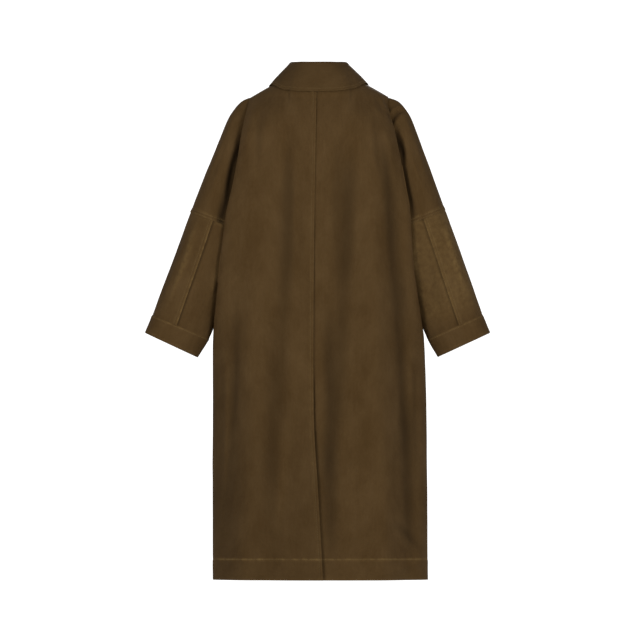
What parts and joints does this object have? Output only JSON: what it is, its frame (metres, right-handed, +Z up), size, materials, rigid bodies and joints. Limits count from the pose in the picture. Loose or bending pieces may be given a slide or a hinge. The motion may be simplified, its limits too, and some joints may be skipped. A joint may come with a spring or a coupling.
{
  "type": "duster coat",
  "caption": "Long, loose duster coat in dark waxed cotton with dropped shoulders, folded collar, banded cuffs and a back vent, hollow as worn.",
  "frame": {"origin": "middle of the neck base, level with the shoulder-neck points, where the wearer's shoulders carry the coat", "axes": "+Z up along the coat's length, +X towards the wearer's right, +Y out of the coat's front, so its back faces -Y"},
  "size_m": [0.829, 0.2644, 1.243],
  "materials": {
    "waxed_cotton": "waxed matte",
    "horn_button": "satin"
  },
  "bodies": {
    "root": {"back_left": "waxed_cotton", "back_right": "waxed_cotton", "front_left": "waxed_cotton", "front_right": "waxed_cotton", "drop_shoulder_left": "waxed_cotton", "drop_shoulder_right": "waxed_cotton", "top_sleeve_left": "waxed_cotton", "top_sleeve_right": "waxed_cotton", "under_sleeve_left": "waxed_cotton", "under_sleeve_right": "waxed_cotton", "cuff_left": "waxed_cotton", "cuff_right": "waxed_cotton", "collar": "waxed_cotton", "button_1": "horn_button", "button_2": "horn_button", "button_3": "horn_button", "button_4": "horn_button", "button_5": "horn_button"}
  },
  "joints": []
}
